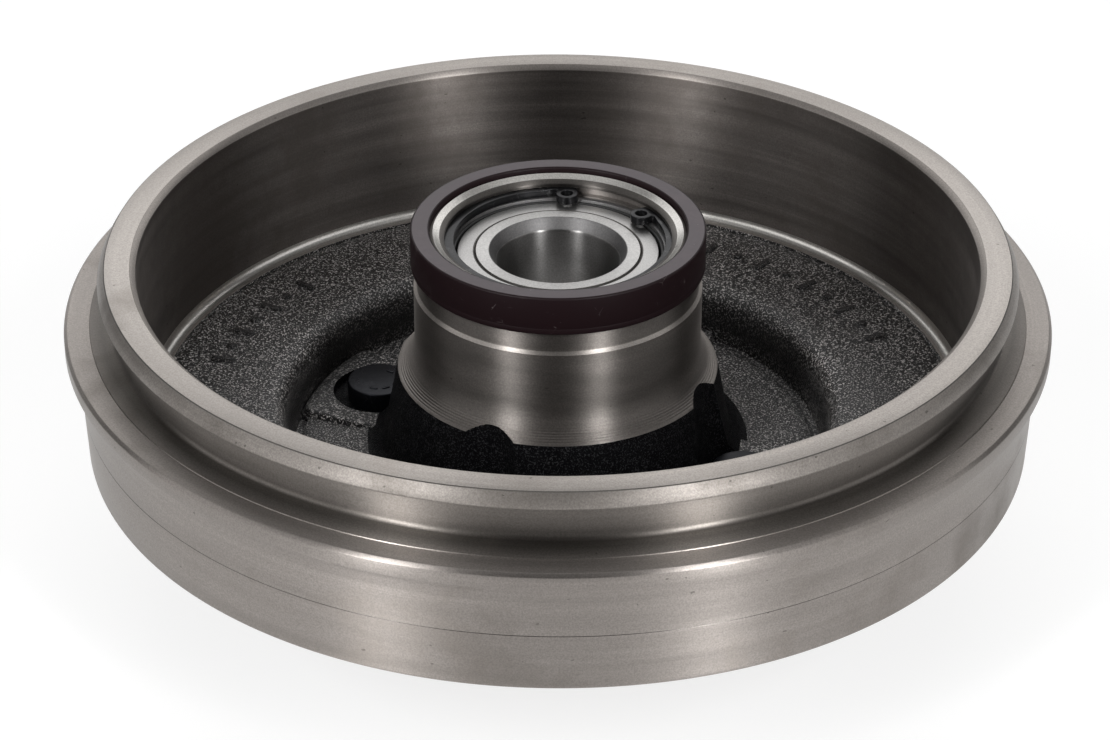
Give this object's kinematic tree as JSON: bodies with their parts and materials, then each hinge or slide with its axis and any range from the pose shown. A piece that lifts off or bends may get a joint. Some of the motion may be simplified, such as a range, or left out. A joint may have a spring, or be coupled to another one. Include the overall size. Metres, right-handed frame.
{
  "type": "brake drum",
  "caption": "Rear brake drum cast in one piece with its hub, with a sealed wheel bearing, a speed encoder ring and pressed-in wheel studs.",
  "frame": {"origin": "centre of the stud circle, on the face that the wheel is bolted to", "axes": "+Z along the spindle axis towards the vehicle, out of the drum's open side; +X through the first wheel stud"},
  "size_m": [0.239, 0.239, 0.0953],
  "materials": {
    "drum_iron": "grey iron, turned on the rim, flange, skirt, shoe track and hub, and rough black as-cast on the web inside",
    "bearing_steel": "ground bearing steel",
    "shield_steel": "pressed bright sheet steel",
    "ball_steel": "polished",
    "seal_rubber": "matte",
    "cage_polymer": "moulded polyamide",
    "spring_steel": "black phosphate",
    "encoder_composite": "dark maroon, satin side, lightly scuffed pale end face",
    "stud_steel": "black phosphate"
  },
  "bodies": {
    "drum": {"drum": "drum_iron", "encoder_ring": "encoder_composite", "circlip": "spring_steel", "bearing_outer_ring": "bearing_steel", "seal_inboard": "seal_rubber", "seal_outboard": "seal_rubber", "wheel_stud_1": "stud_steel", "wheel_stud_2": "stud_steel", "wheel_stud_3": "stud_steel", "wheel_stud_4": "stud_steel"},
    "inner_race": {"inner_ring_inboard": "bearing_steel", "inner_ring_outboard": "bearing_steel", "flinger_inboard": "shield_steel", "flinger_outboard": "shield_steel"},
    "ball_row_inboard": {"cage_inboard": "cage_polymer", "ball_01_inboard": "ball_steel", "ball_02_inboard": "ball_steel", "ball_03_inboard": "ball_steel", "ball_04_inboard": "ball_steel", "ball_05_inboard": "ball_steel", "ball_06_inboard": "ball_steel", "ball_07_inboard": "ball_steel", "ball_08_inboard": "ball_steel", "ball_09_inboard": "ball_steel", "ball_10_inboard": "ball_steel", "ball_11_inboard": "ball_steel", "ball_12_inboard": "ball_steel"},
    "ball_row_outboard": {"cage_outboard": "cage_polymer", "ball_01_outboard": "ball_steel", "ball_02_outboard": "ball_steel", "ball_03_outboard": "ball_steel", "ball_04_outboard": "ball_steel", "ball_05_outboard": "ball_steel", "ball_06_outboard": "ball_steel", "ball_07_outboard": "ball_steel", "ball_08_outboard": "ball_steel", "ball_09_outboard": "ball_steel", "ball_10_outboard": "ball_steel", "ball_11_outboard": "ball_steel", "ball_12_outboard": "ball_steel"}
  },
  "joints": [
    {"name": "inner_race_spin", "type": "hinge", "parent": "drum", "child": "inner_race", "pos_m": [0, 0, 0.043], "axis": [0, 0, 1], "continuous": true},
    {"name": "ball_row_inboard_spin", "type": "hinge", "parent": "drum", "child": "ball_row_inboard", "pos_m": [0, 0, 0.0515], "axis": [0, 0, 1], "continuous": true},
    {"name": "ball_row_outboard_spin", "type": "hinge", "parent": "drum", "child": "ball_row_outboard", "pos_m": [0, 0, 0.0345], "axis": [0, 0, 1], "continuous": true}
  ],
  "couplings": [
    {"joint": "ball_row_inboard_spin", "follows": "inner_race_spin", "ratio": 0.42},
    {"joint": "ball_row_outboard_spin", "follows": "inner_race_spin", "ratio": 0.42}
  ]
}
